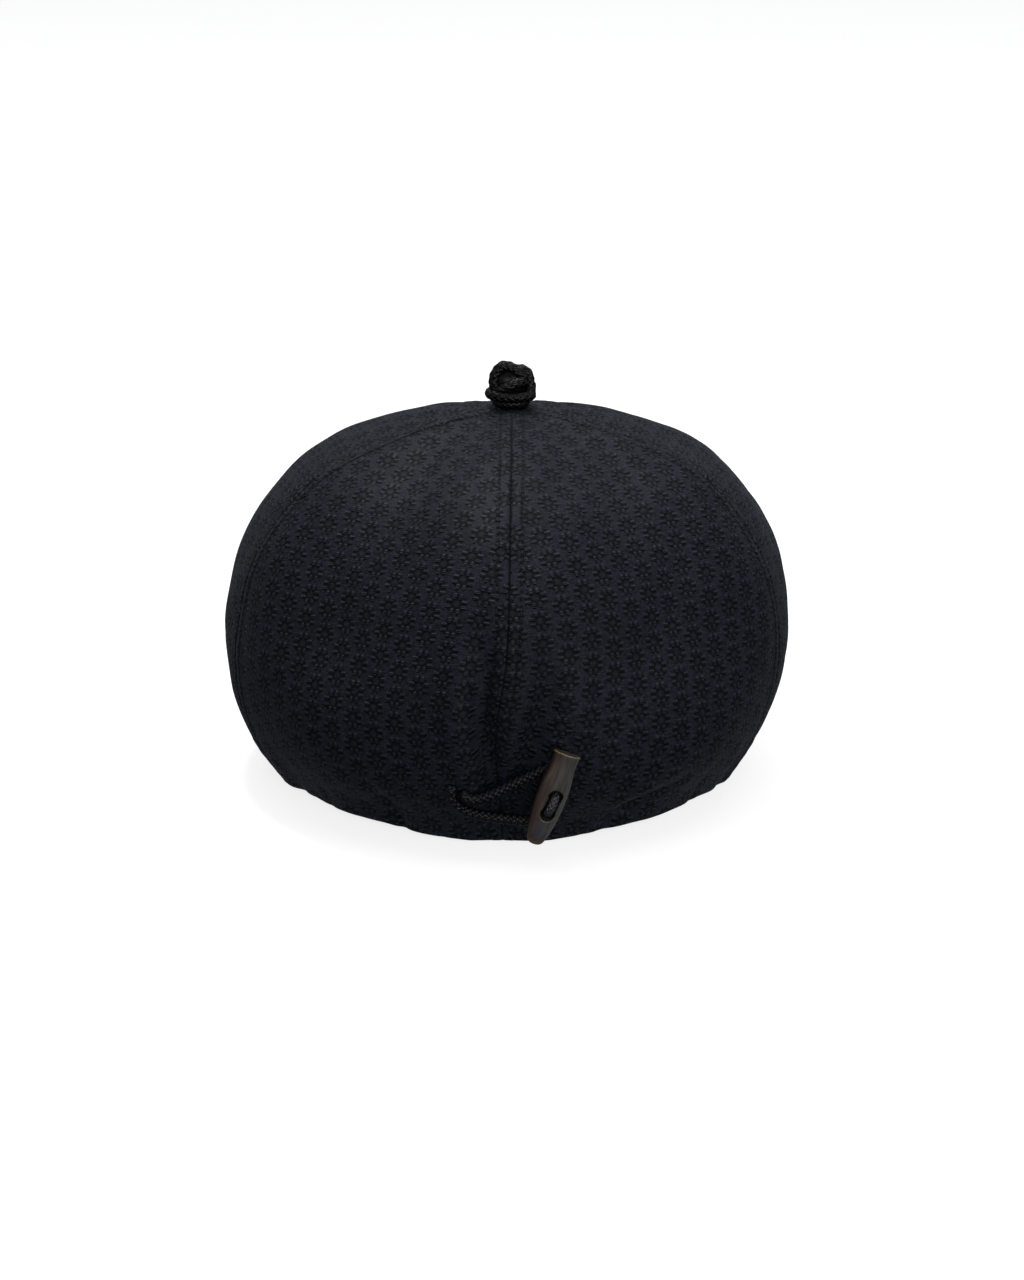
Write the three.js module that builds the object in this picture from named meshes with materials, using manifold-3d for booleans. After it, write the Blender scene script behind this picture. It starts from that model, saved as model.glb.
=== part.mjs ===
// A soft five-panel cap with a knotted cord button on top and a horn toggle in a cord loop at the back.
// Millimetres, +Z up. The origin is the middle of the head opening; the back faces -Y and the front +Y.
import * as THREE from "three";
import { mergeVertices } from "three/addons/utils/BufferGeometryUtils.js";
import Module from "manifold-3d";

const wasm = await Module();
wasm.setup();

// Driving sizes
const PANEL_COUNT = 5;
const CROWN_DEPTH_SHARE = 1.06; // front to back, as a share of the width
const CLOTH_WALL = 1.8; // outer cloth and its backing together
const HEM_EXTRA = 0.9; // the hem is turned in, so it is thicker
const HEM_TURN = 14; // height of the turned-in cloth
const SEAM_GAP = 0.3;
const PANEL_PUFF = 1.3; // how far a panel swells between its seams
const PUFF_BALANCE = 0.4; // share of the puff that stands out from the profile
const PUFF_RADIUS = 40; // nearer the top than this the puff dies away
const HEM_UPRIGHT = 16; // along this much of the hem the wall thickens sideways only
const HALF_STEP = 0.5; // half the span over which the profile's slope is taken
const TOP_HOLE_RADIUS = 5.6;
const TOP_STEP = 0.05; // how finely the edge of the top hole is looked for
const CROWN_LEAN = 2; // the top stands this far to the +X side
const FOLD_SCALE = 112; // mm of cloth for one radian round the crown
const LOOP_CORD = 4.2;
const KNOT_CORD = 4.4;
const STITCH_CORD = 3.3;
const TOGGLE_HOLE = 5.6;

// How finely the solids are faceted
const COLUMN_PACKING = 1.3; // columns crowd towards the back seam
const ROW_PACKING = 1.12; // rows crowd towards the hem
const TOGGLE_SIDES = 20;
const HOLE_SIDES = 16;
const GROOVE_SIDES = 14;
const CORD_SIDES = 7;
const LOOP_STEPS = 38;
const STITCH_STEPS = 18;
const ARCH_STEPS = 16;
const CROSSING_STEPS = 14;
const SIDE_STEPS = 12;
const RING_STEPS = 10;
const RING_CORNERS = 26;
const COLLAR_SIDES = 16;
const CORE_COLUMNS = 10;
const CORE_ROWS = 7;

// The crown's profile from the hem to the top
const PROFILE = [
  { radius: 92, height: 0 },
  { radius: 102.6, height: 17.6 },
  { radius: 110.4, height: 41.6 },
  { radius: 112.3, height: 59 },
  { radius: 110.4, height: 76.7 },
  { radius: 104.8, height: 95 },
  { radius: 94, height: 112.2 },
  { radius: 78, height: 127.2 },
  { radius: 60, height: 135.8 },
  { radius: 40, height: 142.4 },
  { radius: 24, height: 145.9 },
  { radius: 12, height: 147.3 },
  { radius: 4.8, height: 147.9 },
  { radius: 0, height: 148.4 },
];
const CROWN_HEIGHT = PROFILE[PROFILE.length - 1].height;

// How high the hem stands off the ground: degrees are round from the back
const HEM_LIFT_FADE = 60; // height at which the lift has gone
const HEM_LIFT = [
  { degrees: 0, lift: 0 },
  { degrees: 9, lift: 0 },
  { degrees: 20, lift: 1.2 },
  { degrees: 32, lift: 2.3 },
  { degrees: 55, lift: 3.6 },
  { degrees: 78, lift: 1.2 },
  { degrees: 92, lift: 0 },
  { degrees: 180, lift: 0 },
];

// How far the closure draws the back seam to the side
const DRIFT_WIDTH = 22; // degrees
const SEAM_DRIFT = [
  { height: 0, degrees: -1 },
  { height: 14, degrees: -1.4 },
  { height: 30, degrees: -2.1 },
  { height: 42, degrees: -2.5 },
  { height: 55, degrees: -2.2 },
  { height: 68, degrees: -1.1 },
  { height: 78, degrees: -0.4 },
  { height: 90, degrees: 0 },
  { height: 150, degrees: 0 },
];

// The two back panels lie flatter between their seams than the round crown does, as their pattern shows
const BACK_SINK = 11; // how far their middles lie inside the round, where the crown is widest
const BACK_SINK_START = 30; // height at which the flatness begins
const BACK_SINK_FULL = 90;

// How far the soft front sinks in from the profile, which is the back's
const FRONT_SAG = [
  { height: 60, sag: 0 },
  { height: 90, sag: 1 },
  { height: 112, sag: 3.4 },
  { height: 128, sag: 6 },
  { height: 138, sag: 6.2 },
  { height: 145, sag: 3 },
  { height: 148.4, sag: 0 },
];
const FRONT_START = 105; // degrees round from the back
const FRONT_FULL = 175;

// Folds and gathers, as lines on the crown: round is mm from the back, and a ridge has a negative depth
const FOLDS = [
  {
    name: "left of the seam, deep",
    width: 5.6,
    line: [
      { round: -10.4, height: 102, depth: 0.2 },
      { round: -10.6, height: 88, depth: 1.8 },
      { round: -10.2, height: 74, depth: 4 },
      { round: -9, height: 58, depth: 5.8 },
      { round: -7.8, height: 42, depth: 6.6 },
      { round: -6.3, height: 29, depth: 6.6 },
      { round: -5, height: 14, depth: 4 },
    ],
  },
  {
    name: "right of the seam, deep",
    width: 6,
    line: [
      { round: 15.6, height: 96, depth: 0.2 },
      { round: 15.2, height: 84, depth: 1.4 },
      { round: 14.6, height: 72, depth: 3 },
      { round: 12.8, height: 60, depth: 4.8 },
      { round: 9.6, height: 47, depth: 6 },
      { round: 6.4, height: 34, depth: 6.4 },
      { round: 4.6, height: 20, depth: 4.6 },
    ],
  },
  {
    name: "swelling left of the folds",
    width: 5.5,
    line: [
      { round: -19, height: 74, depth: -0.8 },
      { round: -18.2, height: 50, depth: -2.2 },
      { round: -17, height: 33, depth: -1.8 },
      { round: -18, height: 16, depth: -0.6 },
    ],
  },
  {
    name: "swelling right of the folds",
    width: 6.5,
    line: [
      { round: 27, height: 74, depth: -0.8 },
      { round: 30, height: 52, depth: -1.6 },
      { round: 34, height: 34, depth: -1.2 },
    ],
  },
  {
    name: "cloth pressed in behind the toggle",
    width: 8,
    line: [
      { round: 22, height: 38, depth: 0.8 },
      { round: 22, height: 26, depth: 1.4 },
    ],
  },
  {
    name: "hem drawn in at the back",
    width: 13,
    line: [
      { round: -104, height: 4, depth: 1.4 },
      { round: -60, height: 4, depth: 3 },
      { round: -19, height: 4, depth: 3.8 },
      { round: 0, height: 3, depth: 4.6 },
      { round: 22, height: 4, depth: 3.8 },
      { round: 65, height: 4, depth: 3.6 },
      { round: 106, height: 4, depth: 1.6 },
    ],
  },
  {
    name: "tuck in the hem, lower left",
    width: 3.6,
    line: [
      { round: -60, height: 24, depth: 0.8 },
      { round: -55, height: 14, depth: 2.6 },
      { round: -52, height: 3, depth: 3.2 },
    ],
  },
  {
    name: "hollow beside that tuck",
    width: 8,
    line: [
      { round: -74, height: 5, depth: 1.8 },
      { round: -62, height: 7, depth: 2.2 },
    ],
  },
  {
    name: "tuck in the hem, lower right",
    width: 4.2,
    line: [
      { round: 80, height: 19, depth: 1 },
      { round: 66, height: 14.5, depth: 2.2 },
      { round: 56, height: 11, depth: 2.6 },
      { round: 48, height: 4, depth: 2.8 },
    ],
  },
  {
    name: "ridge over that tuck",
    width: 6,
    line: [
      { round: 78, height: 29, depth: -1.2 },
      { round: 60, height: 22, depth: -1.4 },
      { round: 48, height: 14, depth: -1 },
    ],
  },
  {
    name: "gather, left side",
    width: 6,
    line: [
      { round: -117, height: 20, depth: 0.6 },
      { round: -121, height: 2, depth: 2.4 },
    ],
  },
  {
    name: "gather, right side",
    width: 6,
    line: [
      { round: 124, height: 24, depth: 0.6 },
      { round: 130, height: 2, depth: 2.2 },
    ],
  },
  {
    name: "gather, front left",
    width: 7,
    line: [
      { round: -236, height: 22, depth: 0.5 },
      { round: -238, height: 2, depth: 1.4 },
    ],
  },
  {
    name: "fuller left side",
    width: 28,
    line: [
      { round: -166, height: 58, depth: -0.4 },
      { round: -158, height: 36, depth: -1.7 },
      { round: -150, height: 12, depth: -2 },
    ],
  },
  {
    name: "gather, front right",
    width: 7,
    line: [
      { round: 214, height: 24, depth: 0.5 },
      { round: 212, height: 2, depth: 1.5 },
    ],
  },
];
const HEM_RIPPLES = 13;
const HEM_RIPPLE_DEPTH = 0.5;
const HEM_RIPPLE_HEIGHT = 30;

// The toggle, from its lower tip to its cut top
const TOGGLE_TIP = new THREE.Vector3(10.2, -121.4, 10.4);
const TOGGLE_TOP = new THREE.Vector3(22.9, -122.9, 47.0);
const TOGGLE_STATIONS = [
  { along: 0, width: 4.4, thickness: 3.6 },
  { along: 0.7, width: 5.8, thickness: 5 },
  { along: 2.3, width: 7.2, thickness: 6.2 },
  { along: 5.6, width: 8.7, thickness: 7.3 },
  { along: 9.8, width: 10.2, thickness: 8.2 },
  { along: 14, width: 11.1, thickness: 8.8 },
  { along: 20, width: 11.6, thickness: 9.1 },
  { along: 26.5, width: 11.1, thickness: 8.8 },
  { along: 31, width: 9.9, thickness: 8.3 },
  { along: 35, width: 9.7, thickness: 8 },
  { along: 38.6, width: 10.2, thickness: 8.2 },
];
const TOGGLE_CUT_SLANT = 0.2; // the cut top falls away to the back
const TOGGLE_HOLES = [
  { along: 13.7, aside: 0.6 },
  { along: 21.2, aside: 1.2 },
];
const DRILL_LENGTH = 20;
const TOGGLE_GROOVE = 4.9;
const TOGGLE_GROOVE_OUT = 4.2; // the groove's middle line in front of the toggle's

// The closure loop, from its upper end in the cloth round behind the toggle and back
const LOOP_LINE = [
  [-16.0, -114.4, 27.6],
  [-15.6, -115.8, 26.4],
  [-13.4, -115.9, 25.6],
  [-9.6, -115.8, 25.9],
  [-3.2, -115.7, 28.4],
  [3.1, -115.7, 31.8],
  [9.5, -115.6, 34.9],
  [14.2, -115.7, 37.2],
  [18.8, -115.8, 36.8],
  [21.6, -115.4, 32.2],
  [21.3, -115.0, 26.0],
  [18.8, -114.8, 20.9],
  [14.0, -114.7, 17.2],
  [7.8, -114.6, 16.6],
  [-3.3, -114.2, 17.5],
  [-11.9, -113.8, 18.9],
  [-17.2, -114.0, 21.3],
  [-20.2, -114.6, 24.8],
  [-20.8, -115.2, 28.0],
  [-20.4, -114.6, 30.2],
];

// The stitch that holds the toggle, across it: beside, behind (+) or in front (-), along from the tip
const STITCH_LINE = [
  [-0.4, 9.1, 18.4],
  [0.4, 6.9, 20.0],
  [1.2, 4.4, 21.2],
  [1.2, -1.6, 21.4],
  [1.1, -4.0, 19.4],
  [0.7, -4.1, 15.6],
  [0.6, -1.6, 13.5],
  [0.6, 4.4, 13.8],
  [0, 7.2, 14.6],
  [-0.4, 10.6, 15.4],
];

// The knot's strands, from the top of the crown
const KNOT_ARCH = [
  [-6.0, -1.4, 5.2],
  [-7.0, -1.4, 8.6],
  [-6.6, -1.2, 12.2],
  [-3.8, -1.0, 15.6],
  [-0.2, -1.4, 15.2],
  [2.8, -1.8, 13.2],
  [4.6, -1.2, 10.4],
  [4.2, 0.8, 7.4],
];
const KNOT_CROSSING = [
  [-5.8, -3.2, 5.8],
  [-2.8, -5.0, 7.6],
  [0.6, -5.4, 9.2],
  [3.2, -4.0, 10.0],
  [4.0, -1.0, 9.4],
  [2.2, 2.4, 9.2],
  [-1.6, 4.2, 9.4],
  [-4.6, 3.6, 7.4],
];
const KNOT_SIDE = [
  [-2.4, 2.6, 11.4],
  [1.2, 2.2, 13.2],
  [4.2, 1.0, 13.7],
  [6.2, 0.2, 12.2],
  [6.8, -0.4, 9.4],
  [7.4, -0.8, 6.8],
  [6.6, -2.4, 4.4],
];
const KNOT_RING = { aside: -0.6, across: 8.0, deep: 6.2, height: 4.3, tilt: -0.3 };
const KNOT_CORE = { radius: 5.4, height: 8.4 };
const KNOT_COLLAR = [
  { radius: 0, height: -5 },
  { radius: 5.1, height: -5 },
  { radius: 5.1, height: -0.1 },
  { radius: 7.2, height: -0.1 },
  { radius: 7.4, height: 1.4 },
  { radius: 6.6, height: 3.2 },
  { radius: 5.6, height: 4.6 },
  { radius: 0, height: 5.4 },
];

// Finishes
const cloth = { color: "#15171f", roughness: 0.75, metalness: 0 };
const cord = { color: "#0c0d10", roughness: 0.5, metalness: 0 };
const horn = { color: "#6d6258", roughness: 0.35, metalness: 0 };

// A smooth curve through the rows of a table
function smooth(xs, ys, x) {
  let i = 0;
  while (i < xs.length - 2 && x > xs[i + 1]) i += 1;
  const slope = (k) => (ys[k + 1] - ys[k]) / (xs[k + 1] - xs[k]);
  const tangent = (k) => {
    if (k === 0) return slope(0);
    if (k === xs.length - 1) return slope(k - 1);
    const before = xs[k] - xs[k - 1];
    const after = xs[k + 1] - xs[k];
    return (slope(k) * before + slope(k - 1) * after) / (before + after);
  };
  const step = xs[i + 1] - xs[i];
  const u = (x - xs[i]) / step;
  const u2 = u * u;
  const u3 = u2 * u;
  const start = (2 * u3 - 3 * u2 + 1) * ys[i] + (u3 - 2 * u2 + u) * step * tangent(i);
  const end = (3 * u2 - 2 * u3) * ys[i + 1] + (u3 - u2) * step * tangent(i + 1);
  return start + end;
}

// Straight lines through the rows of a table
function straight(rows, from, to, x) {
  if (x <= rows[0][from]) return rows[0][to];
  for (let i = 1; i < rows.length; i += 1) {
    const low = rows[i - 1];
    const high = rows[i];
    if (x <= high[from]) return low[to] + ((x - low[from]) / (high[from] - low[from])) * (high[to] - low[to]);
  }
  return rows[rows.length - 1][to];
}

const ease = (x) => {
  const u = Math.min(1, Math.max(0, x));
  return u * u * (3 - 2 * u);
};

// Distance along the profile to each of its rows
const ALONG = [0];
for (let i = 1; i < PROFILE.length; i += 1) {
  const across = PROFILE[i].radius - PROFILE[i - 1].radius;
  const up = PROFILE[i].height - PROFILE[i - 1].height;
  ALONG.push(ALONG[i - 1] + Math.hypot(across, up));
}
const RADII = PROFILE.map((row) => row.radius);
const HEIGHTS = PROFILE.map((row) => row.height);
const PROFILE_LENGTH = ALONG[ALONG.length - 1];

// How deep the folds are at a place on the crown
function foldDepth(round, height) {
  let depth = 0;
  for (const fold of FOLDS) {
    let nearest = Infinity;
    let here = 0;
    for (let i = 1; i < fold.line.length; i += 1) {
      const start = fold.line[i - 1];
      const end = fold.line[i];
      const across = end.round - start.round;
      const up = end.height - start.height;
      const along = (round - start.round) * across + (height - start.height) * up;
      const u = Math.min(1, Math.max(0, along / (across * across + up * up)));
      const away = Math.hypot(round - start.round - u * across, height - start.height - u * up);
      if (away < nearest) {
        nearest = away;
        here = start.depth + u * (end.depth - start.depth);
      }
    }
    depth += here * Math.exp(-((nearest / fold.width) ** 2));
  }
  return depth;
}

// A point of the crown: turn is the angle round from the back, along the distance up from the hem,
// inward how far it lies behind the outer face
function crownPoint(turn, along, inward) {
  const radius = smooth(ALONG, RADII, along);
  const height = smooth(ALONG, HEIGHTS, along);
  const rise = smooth(ALONG, HEIGHTS, along + HALF_STEP) - smooth(ALONG, HEIGHTS, along - HALF_STEP);
  const spread = smooth(ALONG, RADII, along + HALF_STEP) - smooth(ALONG, RADII, along - HALF_STEP);
  const slant = Math.hypot(rise, spread);
  const outward = rise / slant;
  const upward = (-spread / slant) * ease(along / HEM_UPRIGHT);
  const degrees = THREE.MathUtils.radToDeg(turn);
  const drift = straight(SEAM_DRIFT, "height", "degrees", height) * Math.exp(-((degrees / DRIFT_WIDTH) ** 2));
  const angle = turn + THREE.MathUtils.degToRad(drift);
  const panelTurn = (Math.PI * 2) / PANEL_COUNT;
  const inPanel = Math.abs(turn / panelTurn - Math.round(turn / panelTurn)) * 2;
  const puff = PANEL_PUFF * (PUFF_BALANCE - (1 - inPanel) ** 2) * ease(radius / PUFF_RADIUS);
  const back = Math.abs(turn) < panelTurn ? Math.sin((Math.PI * turn) / panelTurn) ** 2 : 0;
  const sinkHeight = ease((height - BACK_SINK_START) / (BACK_SINK_FULL - BACK_SINK_START));
  const sink = BACK_SINK * back * sinkHeight * (radius / FOLD_SCALE);
  const ripple = HEM_RIPPLE_DEPTH * Math.cos(HEM_RIPPLES * angle) * (1 - ease(height / HEM_RIPPLE_HEIGHT));
  const whole = Math.atan2(Math.sin(angle), Math.cos(angle));
  const fromBack = Math.abs(THREE.MathUtils.radToDeg(whole));
  const front = ease((fromBack - FRONT_START) / (FRONT_FULL - FRONT_START));
  const sag = straight(FRONT_SAG, "height", "sag", height) * front;
  const out = puff - sink - foldDepth(whole * FOLD_SCALE, height) - ripple - sag - inward;
  const lift = straight(HEM_LIFT, "degrees", "lift", fromBack) * (1 - ease(height / HEM_LIFT_FADE));
  const reach = radius + out * outward;
  return new THREE.Vector3(
    reach * Math.sin(angle) + CROWN_LEAN * (height / CROWN_HEIGHT) ** 2,
    -CROWN_DEPTH_SHARE * reach * Math.cos(angle),
    height + lift + out * upward,
  );
}

// A closed geometry from rows of points that close into rings, with a flat cap at each end
function ringsGeometry(rings) {
  const sides = rings[0].length;
  const positions = rings.flat().flatMap((p) => [p.x, p.y, p.z]);
  const index = [];
  for (let i = 0; i + 1 < rings.length; i += 1) {
    for (let j = 0; j < sides; j += 1) {
      const a = i * sides + j;
      const b = i * sides + ((j + 1) % sides);
      index.push(a, b, b + sides, a, b + sides, a + sides);
    }
  }
  const last = (rings.length - 1) * sides;
  for (let j = 1; j + 1 < sides; j += 1) {
    index.push(0, j + 1, j);
    index.push(last, last + j, last + j + 1);
  }
  const geometry = new THREE.BufferGeometry();
  geometry.setAttribute("position", new THREE.Float32BufferAttribute(positions, 3));
  geometry.setIndex(index);
  return geometry;
}

// One cloth panel. from is the number of its first seam, counted round from the back; packed says where its
// columns are finer: -1 at that seam, 1 at the next, 0 nowhere
function panelGeometry({ from, columns, rows, packed }) {
  const panelTurn = (Math.PI * 2) / PANEL_COUNT;
  const spacing = (u) => {
    if (packed < 0) return u ** COLUMN_PACKING;
    if (packed > 0) return 1 - (1 - u) ** COLUMN_PACKING;
    return u;
  };
  let top = PROFILE_LENGTH;
  while (smooth(ALONG, RADII, top) < TOP_HOLE_RADIUS) top -= TOP_STEP;
  const outer = [];
  const inner = [];
  for (let i = 0; i <= rows; i += 1) {
    const along = top * (i / rows) ** ROW_PACKING;
    const gap = SEAM_GAP / 2 / smooth(ALONG, RADII, along);
    const wall = CLOTH_WALL + HEM_EXTRA * (1 - ease(along / HEM_TURN));
    for (let j = 0; j <= columns; j += 1) {
      const turn = from * panelTurn + gap + (panelTurn - 2 * gap) * spacing(j / columns);
      outer.push(crownPoint(turn, along, 0));
      inner.push(crownPoint(turn, along, wall));
    }
  }
  const width = columns + 1;
  const offset = outer.length;
  const index = [];
  const quad = (a, b, c, d) => index.push(a, b, c, a, c, d);
  for (let i = 0; i < rows; i += 1) {
    for (let j = 0; j < columns; j += 1) {
      const a = i * width + j;
      quad(a, a + 1, a + width + 1, a + width);
      quad(offset + a + 1, offset + a, offset + a + width, offset + a + width + 1);
    }
    const left = i * width;
    const right = left + columns;
    quad(offset + left, left, left + width, offset + left + width);
    quad(right, offset + right, offset + right + width, right + width);
  }
  for (let j = 0; j < columns; j += 1) {
    const high = rows * width + j;
    quad(offset + j, offset + j + 1, j + 1, j);
    quad(high, high + 1, offset + high + 1, offset + high);
  }
  const geometry = new THREE.BufferGeometry();
  const points = [...outer, ...inner].flatMap((p) => [p.x, p.y, p.z]);
  geometry.setAttribute("position", new THREE.Float32BufferAttribute(points, 3));
  geometry.setIndex(index);
  return geometry;
}

// A round cord with cut ends along a line of points
function cordGeometry(points, thickness, steps) {
  const curve = new THREE.CatmullRomCurve3(points.map((p) => new THREE.Vector3(...p)), false, "centripetal");
  const frames = curve.computeFrenetFrames(steps, false);
  const rings = [];
  for (let i = 0; i <= steps; i += 1) {
    const centre = curve.getPointAt(i / steps);
    const ring = [];
    for (let j = 0; j < CORD_SIDES; j += 1) {
      const angle = (j / CORD_SIDES) * Math.PI * 2;
      const across = frames.normals[i].clone().multiplyScalar((Math.cos(angle) * thickness) / 2);
      const over = frames.binormals[i].clone().multiplyScalar((Math.sin(angle) * thickness) / 2);
      ring.push(centre.clone().add(across).add(over));
    }
    rings.push(ring);
  }
  return ringsGeometry(rings);
}

function toSolid(geometry) {
  const bare = geometry.clone();
  bare.deleteAttribute("normal");
  bare.deleteAttribute("uv");
  const merged = mergeVertices(bare, 1e-4);
  return new wasm.Manifold(
    new wasm.Mesh({
      numProp: 3,
      vertProperties: new Float32Array(merged.attributes.position.array),
      triVerts: new Uint32Array(merged.index.array),
    }),
  );
}

function toGeometry(solid) {
  const mesh = solid.getMesh();
  const geometry = new THREE.BufferGeometry();
  geometry.setAttribute("position", new THREE.Float32BufferAttribute(mesh.vertProperties, 3));
  geometry.setIndex(Array.from(mesh.triVerts));
  return geometry;
}

// The toggle lies in its own frame: x across, y from front to back, z along
function togglePlacement() {
  const along = TOGGLE_TOP.clone().sub(TOGGLE_TIP).normalize();
  const back = new THREE.Vector3(0, 1, 0);
  const across = back.clone().cross(along).normalize();
  const behind = along.clone().cross(across).normalize();
  return new THREE.Matrix4().makeBasis(across, behind, along).setPosition(TOGGLE_TIP);
}

function toggleGeometry() {
  const rings = TOGGLE_STATIONS.map(({ along, width, thickness }, station) => {
    const slant = station === TOGGLE_STATIONS.length - 1 ? TOGGLE_CUT_SLANT : 0;
    const ring = [];
    for (let j = 0; j < TOGGLE_SIDES; j += 1) {
      const angle = (j / TOGGLE_SIDES) * Math.PI * 2;
      const aside = (Math.cos(angle) * width) / 2;
      const behind = (Math.sin(angle) * thickness) / 2;
      ring.push(new THREE.Vector3(aside, behind, along - slant * (behind + thickness / 2)));
    }
    return ring;
  });
  let solid = toSolid(ringsGeometry(rings));
  for (const { along, aside } of TOGGLE_HOLES) {
    const drill = new THREE.CylinderGeometry(TOGGLE_HOLE / 2, TOGGLE_HOLE / 2, DRILL_LENGTH, HOLE_SIDES);
    drill.translate(aside, 0, along);
    solid = solid.subtract(toSolid(drill));
  }
  const [low, high] = TOGGLE_HOLES;
  const grooveLength = high.along - low.along;
  const groove = new THREE.CylinderGeometry(TOGGLE_GROOVE / 2, TOGGLE_GROOVE / 2, grooveLength, GROOVE_SIDES);
  groove.rotateX(Math.PI / 2);
  groove.translate((low.aside + high.aside) / 2, -TOGGLE_GROOVE_OUT, (low.along + high.along) / 2);
  solid = solid.subtract(toSolid(groove));
  return toGeometry(solid);
}

function knotGeometry() {
  const ring = [];
  for (let i = 0; i < RING_CORNERS; i += 1) {
    const angle = (i / RING_CORNERS) * Math.PI * 2;
    const { aside, across, deep, height, tilt } = KNOT_RING;
    ring.push([aside + across * Math.cos(angle), deep * Math.sin(angle), height + tilt * Math.cos(angle)]);
  }
  const half = RING_CORNERS / 2;
  const overlap = 2;
  const collarLine = KNOT_COLLAR.map((row) => new THREE.Vector2(row.radius, row.height));
  const collar = new THREE.LatheGeometry(collarLine, COLLAR_SIDES);
  collar.rotateX(Math.PI / 2);
  const core = new THREE.SphereGeometry(KNOT_CORE.radius, CORE_COLUMNS, CORE_ROWS);
  core.translate(0, 0, KNOT_CORE.height);
  const pieces = [
    cordGeometry(KNOT_ARCH, KNOT_CORD, ARCH_STEPS),
    cordGeometry(KNOT_CROSSING, KNOT_CORD, CROSSING_STEPS),
    cordGeometry(KNOT_SIDE, KNOT_CORD, SIDE_STEPS),
    cordGeometry(ring.slice(0, half + overlap), KNOT_CORD, RING_STEPS),
    cordGeometry([...ring.slice(half), ...ring.slice(0, overlap)], KNOT_CORD, RING_STEPS),
    core,
  ];
  let solid = toSolid(collar);
  for (const piece of pieces) solid = solid.add(toSolid(piece));
  // The small voids between the strands are left out, so the knot is solid
  const shells = solid.decompose();
  shells.sort((a, b) => b.volume() - a.volume());
  return toGeometry(shells[0]);
}

function namedMesh(name, geometry, finish) {
  const flat = geometry.index ? geometry.toNonIndexed() : geometry;
  flat.computeVertexNormals();
  const mesh = new THREE.Mesh(flat, new THREE.MeshStandardMaterial(finish));
  mesh.name = name;
  return mesh;
}

const cap = new THREE.Group();
cap.name = "cap";

// Panels, from one seam to the next; the closure's folds need finer columns beside the back seam
const panels = [
  { name: "crown_panel_back_left", from: -1, columns: 24, rows: 24, packed: 1 },
  { name: "crown_panel_back_right", from: 0, columns: 24, rows: 24, packed: -1 },
  { name: "crown_panel_side_left", from: -2, columns: 14, rows: 18, packed: 0 },
  { name: "crown_panel_side_right", from: 1, columns: 14, rows: 18, packed: 0 },
  { name: "crown_panel_front", from: 2, columns: 14, rows: 18, packed: 0 },
];
for (const panel of panels) cap.add(namedMesh(panel.name, panelGeometry(panel), cloth));

const knot = knotGeometry();
knot.translate(CROWN_LEAN, 0, CROWN_HEIGHT);
cap.add(namedMesh("top_knot", knot, cord));

cap.add(namedMesh("closure_loop", cordGeometry(LOOP_LINE, LOOP_CORD, LOOP_STEPS), cord));

const placement = togglePlacement();
const toggle = toggleGeometry();
toggle.applyMatrix4(placement);
cap.add(namedMesh("toggle", toggle, horn));

const stitch = cordGeometry(STITCH_LINE, STITCH_CORD, STITCH_STEPS);
stitch.applyMatrix4(placement);
cap.add(namedMesh("toggle_stitch", stitch, cord));

export default cap;
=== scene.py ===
import math
from collections import namedtuple

import bpy
import numpy as np
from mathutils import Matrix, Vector


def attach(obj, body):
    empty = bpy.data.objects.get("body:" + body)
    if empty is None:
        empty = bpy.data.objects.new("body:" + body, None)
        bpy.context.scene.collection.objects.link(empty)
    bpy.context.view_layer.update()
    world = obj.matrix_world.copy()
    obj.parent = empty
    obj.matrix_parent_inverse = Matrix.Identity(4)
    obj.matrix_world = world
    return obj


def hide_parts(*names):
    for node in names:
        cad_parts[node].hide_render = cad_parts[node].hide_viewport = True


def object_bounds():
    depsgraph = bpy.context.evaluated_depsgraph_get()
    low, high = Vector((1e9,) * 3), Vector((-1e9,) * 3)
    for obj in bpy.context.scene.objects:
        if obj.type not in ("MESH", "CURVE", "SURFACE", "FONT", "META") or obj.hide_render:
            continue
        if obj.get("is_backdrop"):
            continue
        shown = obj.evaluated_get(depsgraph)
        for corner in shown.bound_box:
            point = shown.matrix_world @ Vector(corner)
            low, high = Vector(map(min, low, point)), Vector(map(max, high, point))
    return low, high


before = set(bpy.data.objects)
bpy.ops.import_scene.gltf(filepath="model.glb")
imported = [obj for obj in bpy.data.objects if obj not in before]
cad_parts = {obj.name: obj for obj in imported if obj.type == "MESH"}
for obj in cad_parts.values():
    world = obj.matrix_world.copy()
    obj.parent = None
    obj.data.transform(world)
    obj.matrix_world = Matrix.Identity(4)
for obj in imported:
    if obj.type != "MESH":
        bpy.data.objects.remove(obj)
cad_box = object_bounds()

MM = 0.001


def table(columns, *rows):
    """A short table whose columns have names."""
    return namedtuple("Table", columns)(*np.array(rows, float).T)


# Camera, at the photo's angle to the cap
CAMERA_AT = (2, -1434.5, 510.6)
CAMERA_AIM = (2, 0, 51)
CAMERA_LENS = 105.47
CAMERA_SENSOR = 36

# Crown, the same shape as its solids
PANEL_COUNT = 5
PANEL_TURN = 2 * math.pi / PANEL_COUNT
CROWN_DEPTH_SHARE = 1.06
CLOTH_WALL = 1.8
HEM_EXTRA = 0.9
HEM_TURN = 14
PANEL_PUFF = 1.3
PUFF_BALANCE = 0.4
PUFF_RADIUS = 40
HEM_UPRIGHT = 16
HALF_STEP = 0.5
TOP_HOLE_RADIUS = 5.6
CROWN_LEAN = 2
FOLD_SCALE = 112
PROFILE = table(
    "radius height",
    (92, 0),
    (102.6, 17.6),
    (110.4, 41.6),
    (112.3, 59),
    (110.4, 76.7),
    (104.8, 95),
    (94, 112.2),
    (78, 127.2),
    (60, 135.8),
    (40, 142.4),
    (24, 145.9),
    (12, 147.3),
    (4.8, 147.9),
    (0, 148.4),
)
CROWN_HEIGHT = PROFILE.height[-1]
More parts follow.
